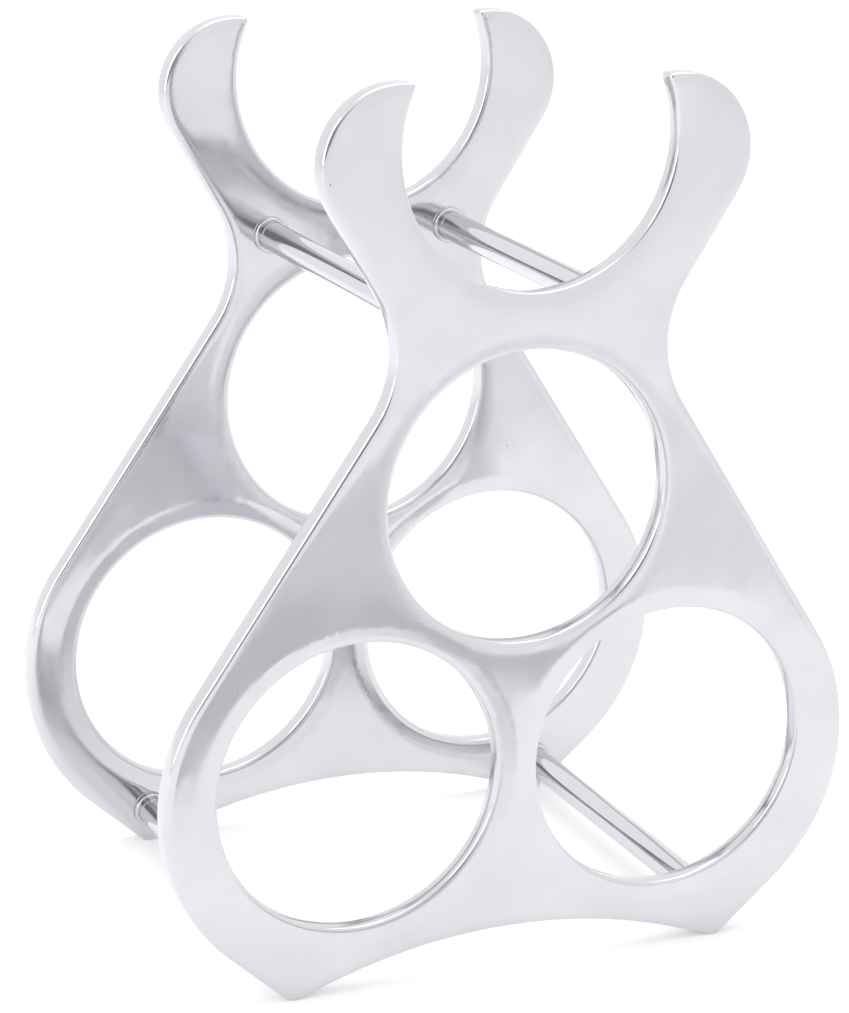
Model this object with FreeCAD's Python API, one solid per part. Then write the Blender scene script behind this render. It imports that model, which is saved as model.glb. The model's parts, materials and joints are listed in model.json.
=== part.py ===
import FreeCAD, Part
import math
import os

# A free-standing rack for four bottles. Two identical cast plates stand one behind the other.
# Four round rods hold them apart. Each plate has three closed round holes and an open cradle
# between two horns at the top. Every length is in millimetres and every angle is in degrees.
# X runs across the plates, Y runs from the front plate to the rear plate and Z is up.
# The origin is on the standing surface, under the middle of the rack.

# Plates
plate_thickness = 8.0
plate_gap = 132.0          # clear space between the two plates
hole_diameter = 95.0       # each closed bottle hole
cradle_diameter = 92.4     # the open round seat at the top
lower_web = 13.8           # metal between the two lower holes
side_web = 9.7             # metal between the upper hole and each lower hole
cradle_web = 17.8          # metal between the upper hole and the cradle
rim_width = 17.5           # metal outside each lower hole
bulge_drop = 3.0           # the round flank's centre lies this far under the hole's centre
flank_angle = 33.7         # lean of the straight flank from the vertical
shoulder_angle = 31.4      # lean of the horn's straight outer side from the vertical
waist_radius = 36.0        # hollow curve between the flank and the horn
horn_radius = 25.0         # round outer end of a horn
horn_width = 25.8          # from the cradle's side to the outermost point of a horn
horn_rise = 20.0           # top of a horn above the cradle's centre

# Feet
foot_angle = 18.8          # direction of a foot from its round flank's centre, from straight down
foot_point = 5.2           # the foot's corner stands this far outside the round flank
foot_land = 4.0            # width of the small flat that a foot stands on
arch_rise = 14.5           # middle of the bottom arch above the standing surface

# Edges
rim_round = 1.0            # rounding along the outside edges and the cradle
hole_round = 1.2           # rounding around the closed holes
foot_round = 3.0           # rounding of both corners of a foot, seen from the front
tip_round = 1.2            # rounding of a horn's tip, seen from the front

# Rods and collars
rod_diameter = 10.0
rod_inset = 13.2           # upper rod's centre, in from the narrowest point of the waist
rod_lift = 9.7             # upper rod's centre, above the narrowest point of the waist
rod_foot_height = 12.0     # lower rod's centre above the standing surface
rod_bore_depth = 11.0      # threaded hole in each end of a rod
collar_wall = 1.2
collar_length = 2.0        # a flat ring around a rod, against a plate's inner face
collar_round = 0.5

# Fasteners
thread_diameter = 4.0
front_bore_depth = 5.5     # blind threaded hole in the front plate
screw_head_diameter = 8.0
screw_grip = 8.5           # screw thread inside a rod
socket_width = 2.5         # across the flats of the hexagon socket
socket_depth = 1.4

# Clearances
collar_clearance = 0.05    # between a collar and its rod, on the radius
thread_clearance = 0.05    # between a thread and its hole, on the radius
passage_clearance = 0.2    # between a screw and the hole it passes through, on the radius
seat_clearance = 0.02      # between a screw's cone and its countersink
end_clearance = 0.5        # between a stud's end and the bottom of its hole

# Tolerance
same_place = 0.01          # points closer than this count as one point

# Places that follow from the sizes above
hole_radius = hole_diameter / 2
cradle_radius = cradle_diameter / 2
bulge_radius = hole_radius + rim_width
lower_x = hole_radius + lower_web / 2
hole_distance = hole_diameter + side_web
foot_reach = bulge_radius + foot_point
bulge_z = foot_reach * math.cos(math.radians(foot_angle))
foot_outer_x = lower_x + foot_reach * math.sin(math.radians(foot_angle))
lower_z = bulge_z + bulge_drop
upper_z = lower_z + math.sqrt(hole_distance ** 2 - lower_x ** 2)
cradle_z = upper_z + hole_radius + cradle_web + cradle_radius
horn_x = cradle_radius + horn_width - horn_radius
horn_z = cradle_z + horn_rise - horn_radius
front_y = -plate_gap / 2 - plate_thickness
rear_y = plate_gap / 2
screw_head_height = (screw_head_diameter - thread_diameter) / 2


def unit(angle):
    """Unit vector in the plate's plane, at an angle in degrees from +X towards +Z."""
    return math.cos(math.radians(angle)), math.sin(math.radians(angle))


def along(point, direction, distance):
    return point[0] + direction[0] * distance, point[1] + direction[1] * distance


def crossing(normal_1, offset_1, normal_2, offset_2):
    """Where two lines meet, each given by its unit normal and its distance from the origin."""
    determinant = normal_1[0] * normal_2[1] - normal_1[1] * normal_2[0]
    x = (offset_1 * normal_2[1] - offset_2 * normal_1[1]) / determinant
    z = (normal_1[0] * offset_2 - normal_2[0] * offset_1) / determinant
    return x, z


def offset_of(normal, point):
    return normal[0] * point[0] + normal[1] * point[1]


# The waist: the straight flank and the straight shoulder meet at a corner, which a hollow curve rounds.
flank_normal = unit(flank_angle)
shoulder_normal = unit(-shoulder_angle)
flank_start = along((lower_x, bulge_z), flank_normal, bulge_radius)
shoulder_end = along((horn_x, horn_z), shoulder_normal, horn_radius)
waist_corner = crossing(flank_normal, offset_of(flank_normal, flank_start),
                        shoulder_normal, offset_of(shoulder_normal, shoulder_end))
waist_outward = unit((flank_angle - shoulder_angle) / 2)
waist_distance = waist_radius / math.cos(math.radians((flank_angle + shoulder_angle) / 2))
waist_centre = along(waist_corner, waist_outward, waist_distance)
waist_x = waist_centre[0] - waist_radius
waist_z = waist_centre[1]

rod_places = {
    "upper_left": (-(waist_x - rod_inset), waist_z + rod_lift),
    "upper_right": (waist_x - rod_inset, waist_z + rod_lift),
    "lower_left": (-(foot_outer_x - foot_land / 2), rod_foot_height),
    "lower_right": (foot_outer_x - foot_land / 2, rod_foot_height),
}


def foot_tangent():
    """Where the straight side of a foot meets the round flank."""
    direction = foot_angle - 90 + math.degrees(math.acos(bulge_radius / foot_reach))
    return along((lower_x, bulge_z), unit(direction), bulge_radius)


def horn_tip():
    """Where the horn's round end meets the cradle, on the upper of their two crossings."""
    dx = horn_x
    dz = horn_z - cradle_z
    distance = math.hypot(dx, dz)
    reach = (distance ** 2 + cradle_radius ** 2 - horn_radius ** 2) / (2 * distance)
    height = math.sqrt(cradle_radius ** 2 - reach ** 2)
    x = (reach * dx - height * dz) / distance
    z = (reach * dz + height * dx) / distance
    return x, cradle_z + z


def point(x, z, y):
    return FreeCAD.Vector(x, y, z)


def line(start, end, y):
    return Part.LineSegment(point(*start, y), point(*end, y)).toShape()


def arc(start, middle, end, y):
    return Part.Arc(point(*start, y), point(*middle, y), point(*end, y)).toShape()


def mirrored(place):
    return -place[0], place[1]


def middle_of_arc(centre, radius, start, end):
    """The point half way along the shorter arc from start to end."""
    x = (start[0] + end[0]) / 2 - centre[0]
    z = (start[1] + end[1]) / 2 - centre[1]
    length = math.hypot(x, z)
    return centre[0] + radius * x / length, centre[1] + radius * z / length


def outline(y):
    """The closed outside edge of a plate, anticlockwise from the left foot."""
    foot_outer = (foot_outer_x, 0.0)
    foot_inner = (foot_outer_x - foot_land, 0.0)
    side = foot_tangent()
    flank_end = along(waist_centre, flank_normal, -waist_radius)
    shoulder_start = along(waist_centre, shoulder_normal, -waist_radius)
    tip = horn_tip()
    bulge_middle = middle_of_arc((lower_x, bulge_z), bulge_radius, side, flank_start)
    waist_middle = middle_of_arc(waist_centre, waist_radius, flank_end, shoulder_start)
    horn_middle = middle_of_arc((horn_x, horn_z), horn_radius, shoulder_end, tip)
    right = [
        ("line", foot_inner, None, foot_outer),
        ("line", foot_outer, None, side),
        ("arc", side, bulge_middle, flank_start),
        ("line", flank_start, None, flank_end),
        ("arc", flank_end, waist_middle, shoulder_start),
        ("line", shoulder_start, None, shoulder_end),
        ("arc", shoulder_end, horn_middle, tip),
    ]
    edges = [arc(mirrored(foot_inner), (0.0, arch_rise), foot_inner, y)]
    for kind, start, middle, end in right:
        edges.append(line(start, end, y) if kind == "line" else arc(start, middle, end, y))
    edges.append(arc(tip, (0.0, cradle_z - cradle_radius), mirrored(tip), y))
    for kind, start, middle, end in reversed(right):
        start, end = mirrored(end), mirrored(start)
        edges.append(line(start, end, y) if kind == "line" else arc(start, mirrored(middle), end, y))
    return Part.Wire(edges)


def cylinder(radius, length, place, start_y):
    """A round bar along Y that starts at start_y."""
    return Part.makeCylinder(radius, length, point(*place, start_y), FreeCAD.Vector(0, 1, 0))


def stands_along_y(ends):
    """Whether an edge has two ends that differ only in Y."""
    if len(ends) != 2:
        return False
    return math.hypot(ends[0].x - ends[1].x, ends[0].z - ends[1].z) < same_place


def standing_edges(shape, places):
    """The straight edges along Y that pass through the given places of the plate's plane."""
    found = []
    for edge in shape.Edges:
        ends = [vertex.Point for vertex in edge.Vertexes]
        if not stands_along_y(ends):
            continue
        if any(math.hypot(ends[0].x - x, ends[0].z - z) < same_place for x, z in places):
            found.append(edge)
    return found


def face_edges(shape, y, closed_holes):
    """The edges of the plate's face at y: those around the closed holes, or all the others."""
    found = []
    for edge in shape.Edges:
        if abs(edge.BoundBox.YMin - y) > same_place or abs(edge.BoundBox.YMax - y) > same_place:
            continue
        if edge.isClosed() == closed_holes:
            found.append(edge)
    return found


def plate(y):
    """One cast plate whose nearer face lies at y, with all its edges rounded."""
    face = Part.Face(outline(y))
    shape = face.extrude(FreeCAD.Vector(0, plate_thickness, 0))
    feet = [(foot_outer_x, 0.0), (foot_outer_x - foot_land, 0.0)]
    feet += [mirrored(corner) for corner in feet]
    shape = shape.makeFillet(foot_round, standing_edges(shape, feet))
    tips = [horn_tip(), mirrored(horn_tip())]
    shape = shape.makeFillet(tip_round, standing_edges(shape, tips))
    for side_y in (y, y + plate_thickness):
        shape = shape.makeFillet(rim_round, face_edges(shape, side_y, False))
    for place in ((0.0, upper_z), (lower_x, lower_z), (-lower_x, lower_z)):
        shape = shape.cut(cylinder(hole_radius, plate_thickness, place, y))
    for side_y in (y, y + plate_thickness):
        shape = shape.makeFillet(hole_round, face_edges(shape, side_y, True))
    return shape


def front_plate():
    """The front plate has blind threaded holes in its inner face, so its front stays plain."""
    shape = plate(front_y)
    for place in rod_places.values():
        bore_y = -plate_gap / 2 - front_bore_depth
        shape = shape.cut(cylinder(thread_diameter / 2, front_bore_depth, place, bore_y))
    return shape


def rear_plate():
    """The rear plate has countersunk holes for the screws, open to the back."""
    shape = plate(rear_y)
    back_y = rear_y + plate_thickness
    passage_radius = thread_diameter / 2 + passage_clearance
    sink_radius = screw_head_diameter / 2 + seat_clearance
    for place in rod_places.values():
        shape = shape.cut(cylinder(passage_radius, plate_thickness, place, rear_y))
        sink = Part.makeCone(0.0, sink_radius, sink_radius,
                             point(*place, back_y - sink_radius), FreeCAD.Vector(0, 1, 0))
        shape = shape.cut(sink)
    return shape


def rod(place):
    """A round rod between the plates, with a threaded hole in each end."""
    start_y = -plate_gap / 2
    shape = cylinder(rod_diameter / 2, plate_gap, place, start_y)
    shape = shape.cut(cylinder(thread_diameter / 2, rod_bore_depth, place, start_y))
    return shape.cut(cylinder(thread_diameter / 2, rod_bore_depth, place, -start_y - rod_bore_depth))


def collar(place, start_y):
    """A thin ring around a rod's end, resting on a plate's inner face."""
    inner_radius = rod_diameter / 2 + collar_clearance
    shape = cylinder(inner_radius + collar_wall, collar_length, place, start_y)
    shape = shape.cut(cylinder(inner_radius, collar_length, place, start_y))
    outer_edges = []
    for edge in shape.Edges:
        if edge.isClosed() and edge.Length > 2 * math.pi * (inner_radius + collar_wall / 2):
            outer_edges.append(edge)
    return shape.makeFillet(collar_round, outer_edges)


def stud(place):
    """A headless threaded stud, half in the front plate and half in a rod."""
    start_y = -plate_gap / 2 - front_bore_depth + end_clearance
    length = front_bore_depth + rod_bore_depth - 2 * end_clearance
    return cylinder(thread_diameter / 2 - thread_clearance, length, place, start_y)


def screw(place):
    """A countersunk screw from the back of the rear plate into a rod, with a hexagon socket."""
    back_y = rear_y + plate_thickness
    head_radius = screw_head_diameter / 2
    shank_radius = thread_diameter / 2 - thread_clearance
    head = Part.makeCone(0.0, head_radius, head_radius,
                         point(*place, back_y - head_radius), FreeCAD.Vector(0, 1, 0))
    shank_length = plate_thickness + screw_grip - screw_head_height / 2
    shank = cylinder(shank_radius, shank_length, place, rear_y - screw_grip)
    corners = []
    for index in range(7):
        direction = unit(60 * index)
        corners.append(point(*along(place, direction, socket_width / math.sqrt(3)), back_y - socket_depth))
    socket = Part.Face(Part.makePolygon(corners)).extrude(FreeCAD.Vector(0, socket_depth, 0))
    return head.fuse(shank).removeSplitter().cut(socket)


nodes = {"front_plate": front_plate(), "rear_plate": rear_plate()}
for name, place in rod_places.items():
    nodes["rod_" + name] = rod(place)
    nodes["collar_front_" + name] = collar(place, -plate_gap / 2)
    nodes["collar_rear_" + name] = collar(place, plate_gap / 2 - collar_length)
    nodes["stud_" + name] = stud(place)
    nodes["screw_" + name] = screw(place)

os.makedirs("parts", exist_ok=True)
for name, shape in nodes.items():
    shape.exportStep("parts/" + name + ".step")
    print(name, "valid" if shape.isValid() else "NOT VALID", len(shape.Solids), "solid",
          round(shape.Volume, 1), "mm3")
whole = Part.makeCompound(list(nodes.values())).optimalBoundingBox()
print("overall size", round(whole.XLength, 2), round(whole.YLength, 2), round(whole.ZLength, 2))
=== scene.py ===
# %% [markdown]
# # A cast aluminium wine rack
# The rack is two thick plates, cast in aluminium and polished by hand, that stand one behind the
# other on four round rods. Its frame comes from CAD, where every size is settled, so this lesson
# builds only the looks. It shows how an exact flat shape turns into a polished casting, and how
# bright metal is lit. Lengths are in metres, X is to the right, Y goes to the rear plate, Z is up.

# %% Load the frame
import bpy
import bmesh
import json
import math
from mathutils import Matrix, Vector


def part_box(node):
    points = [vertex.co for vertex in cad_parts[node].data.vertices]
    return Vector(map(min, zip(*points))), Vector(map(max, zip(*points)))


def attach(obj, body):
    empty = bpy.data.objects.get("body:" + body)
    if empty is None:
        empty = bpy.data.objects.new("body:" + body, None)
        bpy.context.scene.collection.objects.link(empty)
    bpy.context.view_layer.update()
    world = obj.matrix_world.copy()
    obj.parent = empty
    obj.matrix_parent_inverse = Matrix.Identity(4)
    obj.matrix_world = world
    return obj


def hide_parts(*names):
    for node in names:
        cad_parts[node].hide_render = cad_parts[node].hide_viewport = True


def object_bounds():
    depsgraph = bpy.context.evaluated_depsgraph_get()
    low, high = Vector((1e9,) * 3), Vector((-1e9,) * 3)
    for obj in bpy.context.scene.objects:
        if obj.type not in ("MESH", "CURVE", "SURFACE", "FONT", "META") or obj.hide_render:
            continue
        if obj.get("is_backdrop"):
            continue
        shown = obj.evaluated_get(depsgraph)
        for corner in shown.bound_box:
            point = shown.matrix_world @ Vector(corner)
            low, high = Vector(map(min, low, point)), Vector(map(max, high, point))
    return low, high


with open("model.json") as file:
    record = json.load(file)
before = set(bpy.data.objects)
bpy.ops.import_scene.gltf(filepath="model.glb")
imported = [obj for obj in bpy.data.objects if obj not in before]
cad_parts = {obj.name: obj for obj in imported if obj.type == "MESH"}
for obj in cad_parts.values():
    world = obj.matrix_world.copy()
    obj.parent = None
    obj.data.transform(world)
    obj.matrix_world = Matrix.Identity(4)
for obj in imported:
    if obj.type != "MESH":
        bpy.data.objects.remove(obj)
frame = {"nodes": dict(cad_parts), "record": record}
cad_low, cad_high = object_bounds()
millimetre = 0.001
middle = (cad_low + cad_high) / 2
print("CAD box, mm:", [round(side / millimetre, 1) for side in cad_high - cad_low])

# %% [markdown]
# ## Working as by hand
# An operator works on whatever is selected, so each step first selects one object and nothing
# else. Corners, edges and faces are then picked by their place or their direction, as a person
# would click them, and the operator does the rest.

# %% Select one object, and pick parts of it
def only(piece):
    """Selects this one object and makes it the active one."""
    bpy.ops.object.select_all(action="DESELECT")
    piece.select_set(True)
    bpy.context.view_layer.objects.active = piece


def edit(piece):
    """Opens one object in edit mode with nothing selected."""
    only(piece)
    bpy.ops.object.mode_set(mode="EDIT")
    bpy.ops.mesh.select_all(action="DESELECT")


def pick(piece, kind, wanted):
    """Selects, in edit mode, the corners, edges or faces that pass a test, and counts them."""
    bpy.ops.mesh.select_mode(type=kind)
    bpy.ops.mesh.select_all(action="DESELECT")
    mesh = bmesh.from_edit_mesh(piece.data)
    parts = {"VERT": mesh.verts, "EDGE": mesh.edges, "FACE": mesh.faces}[kind]
    chosen = [part for part in parts if wanted(part)]
    for part in chosen:
        part.select_set(True)
    mesh.select_flush_mode()
    return len(chosen)


print("selected after loading:", len(bpy.context.selected_objects), "pieces of the frame")

# %% [markdown]
# ## The seats
# A bottle lies in a pair of round seats, one in each plate. The three closed seats are bores in
# the CAD record, so their places and sizes are read from it. The open cradle at the top is not a
# bore, so its circle is written down here. A thin open tube stands in each seat while the plates
# are shaped. The distance to a rim is measured from these tubes, and they are removed at the end.

# %% Stand a tube in each seat
cradle_radius = 46.2 * millimetre
cradle_height = 270.413 * millimetre
hole_segments = 192
tube_overlength = 20 * millimetre

closed_seats = []
for mount in frame["record"]["mounts"]:
    if mount["kind"] == "bore":
        closed_seats.append((mount["pos_m"][0], mount["pos_m"][2], mount["dims"]["r_mm"] * millimetre))
seats = closed_seats + [(0.0, cradle_height, cradle_radius)]

seat_tubes = []
for x, z, radius in seats:
    bpy.ops.object.select_all(action="DESELECT")
    bpy.ops.mesh.primitive_cylinder_add(
        vertices=hole_segments, radius=radius, depth=(cad_high - cad_low).y + tube_overlength,
        end_fill_type="NOTHING", location=(x, middle.y, z), rotation=(math.pi / 2, 0, 0))
    seat_tubes.append(bpy.context.object)
    bpy.ops.object.transform_apply(location=True, rotation=True, scale=True)
print("seats, mm:", [[round(value / millimetre, 1) for value in seat] for seat in seats])

# %% Find the rods, and test what lies near a seat or a rod
rod_places = []
for name in frame["nodes"]:
    if name.startswith("rod_"):
        low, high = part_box(name)
        rod_places.append((low + high) / 2)


def is_inside(face, circles, margin):
    """Whether a face lies within one of the seats or this far around it, seen from the front."""
    place = face.calc_center_median()
    return any(math.hypot(place.x - x, place.z - z) < radius + margin for x, z, radius in circles)


def is_near_a_rod(face, reach):
    """Whether a face lies within this distance of a rod's axis, seen from the front."""
    place = face.calc_center_median()
    return any(math.hypot(place.x - rod.x, place.z - rod.z) < reach for rod in rod_places)


print("rods at, mm:", [[round(rod.x / millimetre, 1), round(rod.z / millimetre, 1)] for rod in rod_places])

# %% [markdown]
# ## The plates: the outside loop
# Each plate was cast in sand, ground on a belt and buffed. Its outline has to match the CAD plate
# exactly, but the CAD skin is made of long thin triangles, which shade badly once they are bent.
# So only the outline is taken from it: the wall around the outside is picked by its direction and
# its front loop of edges is kept. Long edges are then cut in half until all of them are short.

# %% Keep the loop
loop_edge = 2.4 * millimetre
merge_distance = 0.001 * millimetre
across_y = 0.01      # how much of a wall's normal may point along Y
screw_hole_reach = 5 * millimetre


def is_wall(face):
    """Whether a face stands square to the plate's faces."""
    return abs(face.normal.y) < across_y


def cut_long_edges(piece, longest):
    """Halves the edges again and again until none is longer than this."""
    while pick(piece, "EDGE", lambda edge: edge.calc_length() > longest):
        bpy.ops.mesh.subdivide(number_cuts=1)


def outside_loop(node_name, name):
    """A new object that holds only the loop of edges around a CAD plate, where its rounding starts."""
    piece = bpy.data.objects.new(name, frame["nodes"][node_name].data.copy())
    bpy.context.scene.collection.objects.link(piece)
    only(piece)
    bpy.ops.mesh.customdata_custom_splitnormals_clear()
    edit(piece)
    bpy.ops.mesh.select_all(action="SELECT")
    bpy.ops.mesh.remove_doubles(threshold=merge_distance)
    low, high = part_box(node_name)
    plate_middle = (low.y + high.y) / 2
    pick(piece, "FACE", lambda face: not is_wall(face)
         or is_inside(face, closed_seats, millimetre) or is_near_a_rod(face, screw_hole_reach))
    bpy.ops.mesh.delete(type="FACE")
    pick(piece, "VERT", lambda corner: corner.co.y > plate_middle or not corner.link_faces)
    bpy.ops.mesh.delete(type="VERT")
    cut_long_edges(piece, loop_edge)
    bpy.ops.object.mode_set(mode="OBJECT")
    return piece


plates = {}
for node_name in ("front_plate", "rear_plate"):
    plates[node_name] = outside_loop(node_name, node_name + "_polished")
    print(node_name, "loop edges:", len(plates[node_name].data.edges))

# %% [markdown]
# ## The plates: rounded rims and flat field
# The front half of a plate is built from its loop. The loop is extruded back to the middle of the
# plate, then filled and inset in small steps along a quarter circle, which gives the outside
# rounding. Each closed hole starts as a circle a little way out on the face, and is extruded and
# scaled through the same kind of quarter circle down its wall. Even rings like these keep the
# reflection in a rim smooth. The field between the rings and the outline is filled with triangles.

# %% Round the outside
outside_round = 1.0 * millimetre
round_steps = 4


def quarter_circle(radius):
    """Steps of a rounding, as pairs: how far in from the wall, how far on towards the face."""
    angles = [math.pi / 2 * step / round_steps for step in range(round_steps + 1)]
    return [(radius * (1 - math.cos(angle)), radius * math.sin(angle)) for angle in angles]


def round_the_outside(piece, face_y, plate_middle):
    """Extrudes the loop to the middle of the plate, and rounds it over to an open face."""
    bpy.ops.mesh.select_all(action="SELECT")
    bpy.ops.mesh.extrude_edges_move(
        TRANSFORM_OT_translate={"value": (0, plate_middle - face_y - outside_round, 0)})
    pick(piece, "VERT", lambda corner: corner.co.y < plate_middle - millimetre)
    bpy.ops.mesh.edge_face_add()
    bpy.ops.mesh.select_mode(type="FACE")
    steps = quarter_circle(outside_round)
    for (inward, forward), (next_inward, next_forward) in zip(steps, steps[1:]):
        bpy.ops.mesh.inset(thickness=next_inward - inward, depth=0.0)
        bpy.ops.transform.translate(value=(0, forward - next_forward, 0))
    bpy.ops.mesh.delete(type="ONLY_FACE")


print("outside rounding, mm in from the wall:",
      [round(inward / millimetre, 2) for inward, forward in quarter_circle(outside_round)])

# %% Round a hole
hole_round = 1.2 * millimetre
ring_width = 4.6 * millimetre      # flat rings around each hole; the narrowest web is 9.7 mm
ring_count = 3


def round_a_hole(seat, face_y, plate_middle):
    """Draws rings from the face over the rounding of a closed hole and down its wall."""
    x, z, radius = seat
    rings = []
    for step in range(ring_count):
        rings.append((radius + ring_width - (ring_width - hole_round) * step / ring_count, face_y))
    for inward, forward in reversed(quarter_circle(hole_round)):
        rings.append((radius + inward, face_y + hole_round - forward))
    rings.append((radius, plate_middle))
    bpy.ops.mesh.primitive_circle_add(vertices=hole_segments, radius=rings[0][0],
                                      location=(x, face_y, z), rotation=(math.pi / 2, 0, 0))
    for (ring, y), (next_ring, next_y) in zip(rings, rings[1:]):
        bpy.ops.mesh.extrude_edges_move(TRANSFORM_OT_translate={"value": (0, next_y - y, 0)})
        scale = next_ring / ring
        bpy.ops.transform.resize(value=(scale, 1, scale), center_override=(x, next_y, z))


print("flat rings around a hole:", ring_count, "over mm:", round((ring_width - hole_round) / millimetre, 1))

# %% Fill the field
field_edge = 2.0 * millimetre
first_edge = 50 * millimetre      # halved at each pass, until it is under the last one
last_edge = 1.33 * millimetre
ring_margin = 0.1 * millimetre
along_y = 0.9999      # how much of a flat face's normal points along Y


def is_field(face):
    """Whether a face is part of the flat field, outside the rings around the holes."""
    return abs(face.normal.y) > along_y and not is_inside(face, closed_seats, ring_width - ring_margin)


def fill_the_field(piece, face_y):
    """Fills the face between the loops, then turns it into small even triangles."""
    pick(piece, "EDGE", lambda edge: len(edge.link_faces) == 1
         and all(abs(corner.co.y - face_y) < merge_distance for corner in edge.verts))
    bpy.ops.mesh.fill(use_beauty=True)
    longest = first_edge
    while longest > last_edge:
        limit = max(longest, field_edge)
        pick(piece, "EDGE", lambda edge: edge.calc_length() > limit
             and len(edge.link_faces) == 2 and all(is_field(face) for face in edge.link_faces))
        bpy.ops.mesh.subdivide(number_cuts=1)
        pick(piece, "FACE", is_field)
        bpy.ops.mesh.quads_convert_to_tris()
        bpy.ops.mesh.beautify_fill(angle_limit=math.pi)
        longest /= 2


print("triangles in the field, mm at most:", round(field_edge / millimetre, 1))

# %% Close the plates
def close_the_plate(plate_middle):
    """Mirrors the finished half at the middle of the plate and merges the two."""
    bpy.ops.mesh.select_all(action="SELECT")
    bpy.ops.mesh.duplicate()
    bpy.ops.transform.resize(value=(1, -1, 1), center_override=(0, plate_middle, 0))
    bpy.ops.mesh.select_all(action="SELECT")
    bpy.ops.mesh.remove_doubles(threshold=merge_distance)
    bpy.ops.mesh.normals_make_consistent(inside=False)


plate_middles = {}
for node_name, piece in plates.items():
    low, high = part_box(node_name)
    plate_middles[piece.name] = (low.y + high.y) / 2
    edit(piece)
    round_the_outside(piece, low.y, plate_middles[piece.name])
    for seat in closed_seats:
        round_a_hole(seat, low.y, plate_middles[piece.name])
    fill_the_field(piece, low.y)
    close_the_plate(plate_middles[piece.name])
    open_edges = pick(piece, "EDGE", lambda edge: len(edge.link_faces) != 2)
    bpy.ops.object.mode_set(mode="OBJECT")
    print(piece.name, "faces:", len(piece.data.polygons), "open edges:", open_edges)

# %% [markdown]
# ## The plates: crowned faces
# On the real plates the metal falls away in a wide soft roll around every seat, because the belt
# and the mop round it over. Three ways to model that are a bevel, sculpting, and weights. A bevel
# is too narrow and sculpting is hard to repeat, so weights are used: a modifier gives each point
# a weight by its distance to a seat, and a shape key that squashes the whole plate thinner is
# then held back to where the weights are. Each seat has a key of its own, so that two rolls blend
# where they meet. Around the two lower holes the roll is a straight slope, which ends in the soft
# crease that the belt leaves; elsewhere it curves away. A last key with a cloud pattern adds the
# shallow hollows of a plate polished by hand.

# %% Weights around the seats and along the edge
lower_roll = (6.5 * millimetre, 0.75 * millimetre, "LINEAR")      # width, depth on each face, slope
upper_roll = (8.0 * millimetre, 0.55 * millimetre, "SHARP")
edge_roll = (3.5 * millimetre, 0.6 * millimetre, "SHARP")


def outside_wall(piece):
    """A copy of the wall that runs around the outside of a plate, without the seats' walls."""
    wall = bpy.data.objects.new(piece.name + "_wall", piece.data.copy())
    bpy.context.scene.collection.objects.link(wall)
    edit(wall)
    pick(wall, "FACE", lambda face: not is_wall(face) or is_inside(face, seats, millimetre))
    bpy.ops.mesh.delete(type="FACE")
    bpy.ops.object.mode_set(mode="OBJECT")
    return wall


def weigh_by_distance(piece, group, target, width, falloff):
    """Weights that are 1 on the target and fall to 0 at this distance: LINEAR straight, SHARP curved."""
    piece.vertex_groups.new(name=group).add(range(len(piece.data.vertices)), 1.0, "REPLACE")
    weigh = piece.modifiers.new(group, "VERTEX_WEIGHT_PROXIMITY")
    weigh.vertex_group = group
    weigh.target = target
    weigh.proximity_mode = "GEOMETRY"
    weigh.proximity_geometry = {"FACE"}
    weigh.min_dist = width
    weigh.max_dist = 0.0
    weigh.falloff_type = falloff
    only(piece)
    bpy.ops.object.modifier_apply(modifier=weigh.name)


print("rolls, mm wide and deep:", [[round(size / millimetre, 2) for size in roll[:2]]
                                   for roll in (lower_roll, upper_roll, edge_roll)])

# %% Cloudy weights for the hollows
hollow_size = 34 * millimetre
hollow_depth = 0.28 * millimetre


def weigh_by_clouds(piece, group, size):
    """Weights that drift between 0 and 1 over the plate."""
    piece.vertex_groups.new(name=group).add(range(len(piece.data.vertices)), 1.0, "REPLACE")
    clouds = bpy.data.textures.new(group, "CLOUDS")
    clouds.noise_scale = size
    clouds.noise_depth = 0
    weigh = piece.modifiers.new(group, "VERTEX_WEIGHT_EDIT")
    weigh.vertex_group = group
    weigh.default_weight = 0.0
    weigh.mask_constant = 1.0
    weigh.mask_texture = clouds
    weigh.mask_tex_mapping = "LOCAL"
    weigh.mask_tex_use_channel = "INT"
    weigh.use_remove = False
    weigh.invert_falloff = True      # without this the mask would blend each weight with itself
    only(piece)
    bpy.ops.object.modifier_apply(modifier=weigh.name)


print("hollows, mm wide and deep:", round(hollow_size / millimetre), round(hollow_depth / millimetre, 2))

# %% Squash the plates where they are weighed
def squash(piece, group, depth):
    """A shape key that thins the whole plate by this depth on each face, held to a weight group."""
    only(piece)
    bpy.ops.object.shape_key_add(from_mix=False)
    piece.active_shape_key_index = len(piece.data.shape_keys.key_blocks) - 1
    edit(piece)
    bpy.ops.mesh.select_all(action="SELECT")
    bpy.ops.transform.resize(value=(1, 1 - 2 * depth / piece.dimensions.y, 1),
                             center_override=(0, plate_middles[piece.name], 0))
    bpy.ops.object.mode_set(mode="OBJECT")
    key = piece.data.shape_keys.key_blocks[-1]
    key.vertex_group = group
    key.value = 1.0


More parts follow.
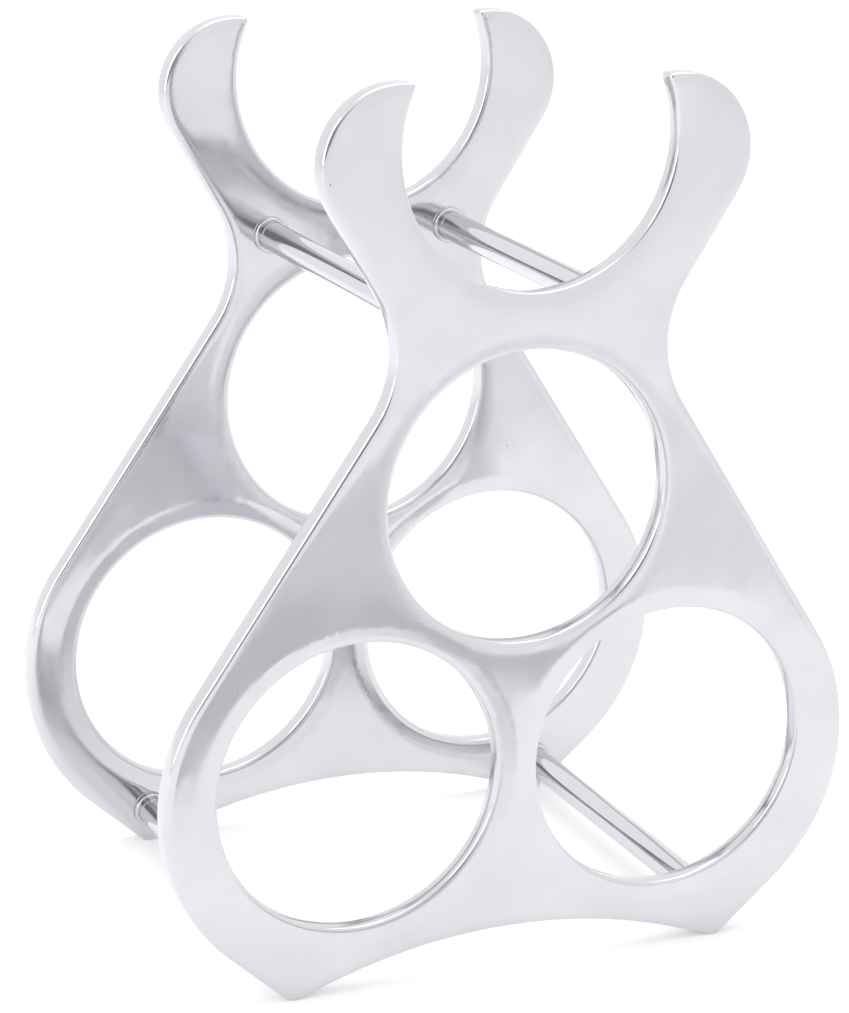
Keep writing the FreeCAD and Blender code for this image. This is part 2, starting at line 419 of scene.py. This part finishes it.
for piece in plates.values():
    wall = outside_wall(piece)
    rolls = [("near_edge", wall, edge_roll)]
    for index, (x, z, radius) in enumerate(seats):
        rolls.append((f"near_seat_{index}", seat_tubes[index], lower_roll if z < middle.z else upper_roll))
    for group, target, (width, depth, falloff) in rolls:
        weigh_by_distance(piece, group, target, width, falloff)
    weigh_by_clouds(piece, "hollows", hollow_size)
    hollow_weights = [group.weight for corner in piece.data.vertices for group in corner.groups
                      if group.group == piece.vertex_groups["hollows"].index]
    print(piece.name, "hollow weights from", min(hollow_weights), "to", max(hollow_weights))
    only(piece)
    bpy.ops.object.shape_key_add(from_mix=False)
    for group, target, (width, depth, falloff) in rolls:
        squash(piece, group, depth)
    squash(piece, "hollows", hollow_depth)
    only(piece)
    bpy.ops.object.shape_key_remove(all=True, apply_mix=True)
    bpy.ops.object.vertex_group_remove(all=True)
    bpy.data.objects.remove(wall)
    print(piece.name, "thickness where it is thickest, mm:", round(piece.dimensions.y / millimetre, 2))
for tube in seat_tubes:
    bpy.data.objects.remove(tube)

# %% [markdown]
# ## The plates: screw holes
# A headless stud joins each rod to the front plate, from a blind hole that the rod hides. A
# countersunk screw goes through the rear plate into each rod's other end, so the rack comes apart
# from the back. The holes were drilled after casting, so they are cut sharp, with a cutter of the
# same size as the drill and, for the rear plate, a cone as its countersink.

# %% Drill the holes
blind_hole = (2.0 * millimetre, 5.5 * millimetre)      # radius and depth
passage_radius = 2.2 * millimetre
sink_radius = 4.02 * millimetre
overcut = 1.0 * millimetre
drill_segments = 48


def drill(piece):
    """Cuts the active object out of a plate, and removes it."""
    cutter = bpy.context.object
    cut = piece.modifiers.new("drill", "BOOLEAN")
    cut.operation = "DIFFERENCE"
    cut.solver = "EXACT"
    cut.object = cutter
    only(piece)
    bpy.ops.object.modifier_apply(modifier=cut.name)
    bpy.data.objects.remove(cutter)


def bore(radius, start_y, end_y, place):
    """A round bar along Y, to cut with."""
    bpy.ops.object.select_all(action="DESELECT")
    bpy.ops.mesh.primitive_cylinder_add(
        vertices=drill_segments, radius=radius, depth=end_y - start_y,
        location=(place.x, (start_y + end_y) / 2, place.z), rotation=(math.pi / 2, 0, 0))


front, rear = plates["front_plate"], plates["rear_plate"]
front_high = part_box("front_plate")[1]
rear_low, rear_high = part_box("rear_plate")
for place in rod_places:
    bore(blind_hole[0], front_high.y - blind_hole[1], front_high.y + overcut, place)
    drill(front)
    bore(passage_radius, rear_low.y - overcut, rear_high.y + overcut, place)
    drill(rear)
    bpy.ops.object.select_all(action="DESELECT")
    bpy.ops.mesh.primitive_cone_add(
        vertices=drill_segments, radius1=sink_radius + overcut, radius2=0.0, depth=sink_radius + overcut,
        location=(place.x, rear_high.y + overcut - (sink_radius + overcut) / 2, place.z),
        rotation=(math.pi / 2, 0, 0))
    drill(rear)
print("holes drilled:", {piece.name: len(rod_places) for piece in plates.values()})

# %% Fit the plates in the frame
sharp_angle = math.radians(40)
for node_name, piece in plates.items():
    only(piece)
    bpy.ops.object.shade_smooth_by_angle(angle=sharp_angle)
    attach(piece, "root")
    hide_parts(node_name)
    print(piece.name, "faces:", len(piece.data.polygons))

# %% [markdown]
# ## Colour and nodes
# A colour is written as an sRGB code, as a paint chart gives it, and one function turns it into
# the linear numbers that a shader works with. A second function adds a node with its settings and
# links, so that each finish below reads as a short list.

# %% Colour, nodes and a plain metal
def colour(code):
    """The linear colour of an sRGB hex code."""
    channels = [int(code[start:start + 2], 16) / 255 for start in (1, 3, 5)]
    linear = [c / 12.92 if c <= 0.04045 else ((c + 0.055) / 1.055) ** 2.4 for c in channels]
    return (*linear, 1.0)


def add_node(tree, kind, settings, links=()):
    """Adds a node, sets its sockets and properties by name, and links sockets to outputs."""
    node = tree.nodes.new(kind)
    for name, value in settings.items():
        if name in node.inputs:
            node.inputs[name].default_value = value
        else:
            setattr(node, name, value)
    for name, output in dict(links).items():
        tree.links.new(output, node.inputs[name])
    return node


def metal(name, code, roughness):
    """A plain metal to build on: its material, its node tree and its shader."""
    material = bpy.data.materials.new(name)
    material.use_nodes = True
    shader = material.node_tree.nodes["Principled BSDF"]
    shader.inputs["Base Color"].default_value = colour(code)
    shader.inputs["Metallic"].default_value = 1.0
    shader.inputs["Roughness"].default_value = roughness
    return material, material.node_tree, shader


noise_middle = {"From Min": 0.3, "From Max": 0.7}      # nearly all of a noise lies between these
print("aluminium, linear:", [round(value, 3) for value in colour("#D6D5D9")])

# %% [markdown]
# ## Polished casting
# The plates are sand cast, ground with a belt and buffed on a mop. Cast aluminium never buffs to
# a true mirror. Four things are left, and each has a part in the nodes. A broad haze, where
# the mop stayed a shorter time, is a slow change in roughness over about 12 mm. A faint cloudiness,
# a few percent darker and lighter over about 25 mm, is polishing compound left in the skin. Low
# waves from the belt, about 9 mm apart and some hundredths of a millimetre deep, bend a reflection
# slightly. Small gas pits, some tenths of a millimetre wide and 16 mm or more apart, are dents in
# the surface, and their dark specks are painted shade: the base colour is darkened inside each pit.

# %% Casting: haze from the mop
casting, tree, shader = metal("hand_polished_cast_aluminium", "#D6D5D9", 0.13)
place = add_node(tree, "ShaderNodeTexCoord", {})

haze_size = 12 * millimetre
haze = add_node(tree, "ShaderNodeTexNoise", {"Scale": 1 / haze_size, "Detail": 3.0},
                {"Vector": place.outputs["Object"]})
gloss = add_node(tree, "ShaderNodeMapRange", noise_middle | {"To Min": 0.09, "To Max": 0.18},
                 {"Value": haze.outputs["Fac"]})
tree.links.new(gloss.outputs["Result"], shader.inputs["Roughness"])
print(casting.name, "patches of haze per plate width:", round((cad_high - cad_low).x / haze_size))

# %% Casting: belt waves and gas pits
wave_size = (9 * millimetre, 9 * millimetre, 14 * millimetre)
wave_depth = 0.05 * millimetre
pit_spacing = 16 * millimetre
pit_radius = 0.32 * millimetre      # drawn wider than most real pits, so that a few show
pit_floor = 0.4 * pit_radius
pit_depth = 0.15 * millimetre

stretched = add_node(tree, "ShaderNodeMapping", {"Scale": [1 / side for side in wave_size]},
                     {"Vector": place.outputs["Object"]})
waves = add_node(tree, "ShaderNodeTexNoise", {"Scale": 1.0, "Detail": 1.0},
                 {"Vector": stretched.outputs["Vector"]})
wave_bump = add_node(tree, "ShaderNodeBump", {"Strength": 1.0, "Distance": wave_depth},
                     {"Height": waves.outputs["Fac"]})
pit_cells = add_node(tree, "ShaderNodeTexVoronoi", {"Scale": 1 / pit_spacing, "Randomness": 1.0},
                     {"Vector": place.outputs["Object"]})
pit_edge = add_node(tree, "ShaderNodeMapRange", {
    "From Min": pit_floor / pit_spacing, "From Max": pit_radius / pit_spacing,
    "To Min": 0.0, "To Max": 1.0}, {"Value": pit_cells.outputs["Distance"]})
pit_bump = add_node(tree, "ShaderNodeBump", {"Strength": 1.0, "Distance": pit_depth},
                    {"Height": pit_edge.outputs["Result"], "Normal": wave_bump.outputs["Normal"]})
tree.links.new(pit_bump.outputs["Normal"], shader.inputs["Normal"])
print(casting.name, "pit width, mm:", round(2 * pit_radius / millimetre, 2))

# %% Casting: cloudiness in the skin, and painted shade in the pits
cloud_size = 25 * millimetre
clouds = add_node(tree, "ShaderNodeTexNoise", {"Scale": 1 / cloud_size, "Detail": 4.0},
                  {"Vector": place.outputs["Object"]})
cloud_shade = add_node(tree, "ShaderNodeMapRange", noise_middle | {"To Min": 0.95, "To Max": 1.02},
                       {"Value": clouds.outputs["Fac"]})
# Painted shade: the base colour is darkened to a quarter at the middle of each pit, where shade falls in
# the dent.
pit_painted_shade = add_node(tree, "ShaderNodeMapRange", {"To Min": 0.25, "To Max": 1.0},
                     {"Value": pit_edge.outputs["Result"]})
shade = add_node(tree, "ShaderNodeMath", {"operation": "MULTIPLY"}, {})
tree.links.new(pit_painted_shade.outputs["Result"], shade.inputs[0])
tree.links.new(cloud_shade.outputs["Result"], shade.inputs[1])
shaded = add_node(tree, "ShaderNodeHueSaturation", {"Color": colour("#D6D5D9")},
                  {"Value": shade.outputs["Value"]})
tree.links.new(shaded.outputs["Color"], shader.inputs["Base Color"])

for piece in plates.values():
    piece.data.materials.clear()
    piece.data.materials.append(casting)
print(casting.name, "nodes:", len(tree.nodes))

# %% [markdown]
# ## Rods, collars and screws
# These keep their CAD shape, since bar and turned parts are as exact as the CAD. The rods are
# drawn bar, polished along their length, so a faint grain runs along Y: that draws a reflection
# out into long clean streaks. The collars are turned on a lathe, whose tool leaves fine rings
# around the axis that break up their light. The studs and screws are plated steel: greyer than
# aluminium, and a little uneven in gloss.

# %% Bar: grain along the rod
# Real polishing lines are some hundredths of a millimetre wide, too fine to show here, so the grain
# is drawn half a millimetre wide.
rod_metal, tree, shader = metal("mirror_polished_aluminium_bar", "#D6D5D9", 0.08)
grain_size = (0.5 * millimetre, 80 * millimetre, 0.5 * millimetre)
grain_depth = 0.002 * millimetre
place = add_node(tree, "ShaderNodeTexCoord", {})
stretched = add_node(tree, "ShaderNodeMapping", {"Scale": [1 / side for side in grain_size]},
                     {"Vector": place.outputs["Object"]})
grain = add_node(tree, "ShaderNodeTexNoise", {"Scale": 1.0, "Detail": 1.0},
                 {"Vector": stretched.outputs["Vector"]})
gloss = add_node(tree, "ShaderNodeMapRange", noise_middle | {"To Min": 0.06, "To Max": 0.12},
                 {"Value": grain.outputs["Fac"]})
tree.links.new(gloss.outputs["Result"], shader.inputs["Roughness"])
grain_bump = add_node(tree, "ShaderNodeBump", {"Strength": 1.0, "Distance": grain_depth},
                      {"Height": grain.outputs["Fac"]})
tree.links.new(grain_bump.outputs["Normal"], shader.inputs["Normal"])
print(rod_metal.name, "grain, mm:", [round(side / millimetre, 2) for side in grain_size])

# %% Turned metal: tool rings around the collars
# A fine turning feed leaves rings a tenth of a millimetre apart, too fine to show here, so they are
# drawn four times as far apart.
collar_metal, tree, shader = metal("turned_aluminium", "#CECDD1", 0.16)
ring_size = (20 * millimetre, 0.4 * millimetre, 20 * millimetre)
ring_depth = 0.012 * millimetre
place = add_node(tree, "ShaderNodeTexCoord", {})
stretched = add_node(tree, "ShaderNodeMapping", {"Scale": [1 / side for side in ring_size]},
                     {"Vector": place.outputs["Object"]})
tool_rings = add_node(tree, "ShaderNodeTexNoise", {"Scale": 1.0, "Detail": 1.0},
                      {"Vector": stretched.outputs["Vector"]})
ring_bump = add_node(tree, "ShaderNodeBump", {"Strength": 1.0, "Distance": ring_depth},
                     {"Height": tool_rings.outputs["Fac"]})
tree.links.new(ring_bump.outputs["Normal"], shader.inputs["Normal"])
print(collar_metal.name, "rings, mm apart:", round(ring_size[1] / millimetre, 2))

# %% Plated steel: uneven gloss
screw_metal, tree, shader = metal("bright_plated_steel", "#C4C6CB", 0.22)
plating_size = 1.5 * millimetre
place = add_node(tree, "ShaderNodeTexCoord", {})
plating = add_node(tree, "ShaderNodeTexNoise", {"Scale": 1 / plating_size, "Detail": 2.0},
                   {"Vector": place.outputs["Object"]})
gloss = add_node(tree, "ShaderNodeMapRange", noise_middle | {"To Min": 0.16, "To Max": 0.28},
                 {"Value": plating.outputs["Fac"]})
tree.links.new(gloss.outputs["Result"], shader.inputs["Roughness"])

finishes = {"rod_": rod_metal, "collar_": collar_metal, "stud_": screw_metal, "screw_": screw_metal}
for name, node in frame["nodes"].items():
    for start, material in finishes.items():
        if name.startswith(start):
            node.material_slots[0].material = material
print("finishes:", [casting.name] + [material.name for material in finishes.values()])

# %% [markdown]
# ## The studio
# Bright metal shows the room more than itself, so the room is what gets designed. The floor is a
# sheet of white acrylic with a weak light under it, so that the space between the plates stays
# bright, and the world is near white: every flat face turns light grey. The shape is drawn by a
# few matt grey cards: where a face or a rim mirrors a card, it goes darker. Two low cards in front
# of the rack shade the left shoulders, a small one the web between the holes, and a paler one
# further out the right shoulder. A large one behind the camera draws the thin dark lines that run
# beside the bright rims. Cards show in reflections only.

# %% Floor
def matt(name, code):
    """A matt paint with no shine."""
    paint = bpy.data.materials.new(name)
    paint.use_nodes = True
    shader = paint.node_tree.nodes["Principled BSDF"]
    shader.inputs["Base Color"].default_value = colour(code)
    shader.inputs["Roughness"].default_value = 1.0
    shader.inputs["Specular IOR Level"].default_value = 0.0
    return paint


floor_radius = 8.0
floor_corners = 96
floor_glow = 0.28
bpy.ops.object.select_all(action="DESELECT")
bpy.ops.mesh.primitive_circle_add(vertices=floor_corners, radius=floor_radius, fill_type="NGON",
                                  location=(0, 0, cad_low.z))
floor = bpy.context.object
floor.name = "floor"
floor.data.materials.append(matt("lit_acrylic", "#DCDCDD"))
floor_shader = floor.data.materials[0].node_tree.nodes["Principled BSDF"]
floor_shader.inputs["Emission Color"].default_value = colour("#FFFFFF")
floor_shader.inputs["Emission Strength"].default_value = floor_glow
floor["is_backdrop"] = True
print("floor, m across:", 2 * floor_radius)

# %% Cards around the view
def card(name, size, centre, target, code):
    """A matt card that faces a target and shows only in reflections."""
    bpy.ops.object.select_all(action="DESELECT")
    bpy.ops.mesh.primitive_plane_add(size=1.0, location=centre)
    piece = bpy.context.object
    piece.name = name
    piece.scale = (*size, 1)
    piece.rotation_mode = "QUATERNION"
    piece.rotation_quaternion = (Vector(target) - Vector(centre)).to_track_quat("Z", "Y")
    piece.data.materials.append(matt(name, code))
    piece.visible_camera = False
    piece.visible_shadow = False
    piece.visible_diffuse = False
    piece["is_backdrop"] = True
    print(name, "m:", size)

# %% Where the camera looks from, and the cards
camera_azimuth = math.radians(-24.23)
camera_elevation = math.radians(16.51)
camera_roll = math.radians(1.83)
camera_distance = 1.0375
camera_target = Vector((-0.0145, -0.0265, 0.14428))
card_distance = 1.1      # the camera's own card stands just behind it
back = Vector((
    math.sin(camera_azimuth) * math.cos(camera_elevation),
    -math.cos(camera_azimuth) * math.cos(camera_elevation),
    math.sin(camera_elevation)))

near_y = -0.265
far_y = -0.40
card("left_card", (0.15, 0.065), (0.0, near_y, 0.0325), (0.0, 0.0, 0.0325), "#CECED0")
card("web_card", (0.055, 0.043), (0.1025, near_y, 0.0435), (0.1025, 0.0, 0.0435), "#D0D0D2")
card("upper_left_card", (0.15, 0.05), (0.0, near_y, 0.09), (0.0, 0.0, 0.09), "#E0E0E2")
card("right_card", (0.22, 0.08), (0.27, far_y, 0.04), (0.27, 0.0, 0.04), "#EAEAEC")
card("camera_card", (0.9, 0.5), camera_target + back * card_distance, camera_target, "#86868B")

# %% [markdown]
# ## Light
# Even white light from all round keeps the floor white and the metal pale. A large softbox
# overhead and one on the left add a soft direction, so the rims that face them catch a clean
# highlight and the feet throw a faint shadow.

# %% World and softboxes
world_light = 1.1
world = bpy.data.worlds.new("studio")
bpy.context.scene.world = world
world.use_nodes = True
world.node_tree.nodes["Background"].inputs["Color"].default_value = colour("#FFFFFF")
world.node_tree.nodes["Background"].inputs["Strength"].default_value = world_light


def softbox(name, place, target, size, power):
    """A rectangular lamp, of this many watts, that faces a target."""
    data = bpy.data.lights.new(name, "AREA")
    data.shape = "RECTANGLE"
    data.size, data.size_y = size
    data.energy = power
    lamp = bpy.data.objects.new(name, data)
    lamp.location = place
    lamp.rotation_mode = "QUATERNION"
    lamp.rotation_quaternion = (Vector(place) - Vector(target)).to_track_quat("Z", "Y")
    bpy.context.scene.collection.objects.link(lamp)
    print(name, "W:", power)


softbox("top_box", (0.2, 0.3, 1.6), middle, (1.4, 1.4), 8)
softbox("left_box", (-1.3, -0.2, 0.7), middle, (0.9, 1.2), 5)

# %% [markdown]
# ## Camera
# A long lens about a metre away, a little to the left and above, shows both plates through each
# other's holes without bending them. It is turned slightly about its own axis, as it was not
# quite level.

# %% Camera
camera_lens = 113.9      # in millimetres, as for any lens
sensor_width = 36
camera_data = bpy.data.cameras.new("camera")
camera_data.lens = camera_lens
camera_data.sensor_width = sensor_width
camera = bpy.data.objects.new("camera", camera_data)
bpy.context.scene.collection.objects.link(camera)
level = back.to_track_quat("Z", "Y").to_matrix()
turn = Matrix.Rotation(camera_roll, 3, "Z")
camera.matrix_world = Matrix.Translation(camera_target + back * camera_distance) @ (level @ turn).to_4x4()
bpy.context.scene.camera = camera
bpy.context.scene.view_settings.view_transform = "Standard"      # keeps white paper white
print("camera at, m:", [round(value, 3) for value in camera.matrix_world.translation])

# %% Sizes
low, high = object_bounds()
print("visual box, mm:", [round(side / millimetre, 2) for side in high - low])
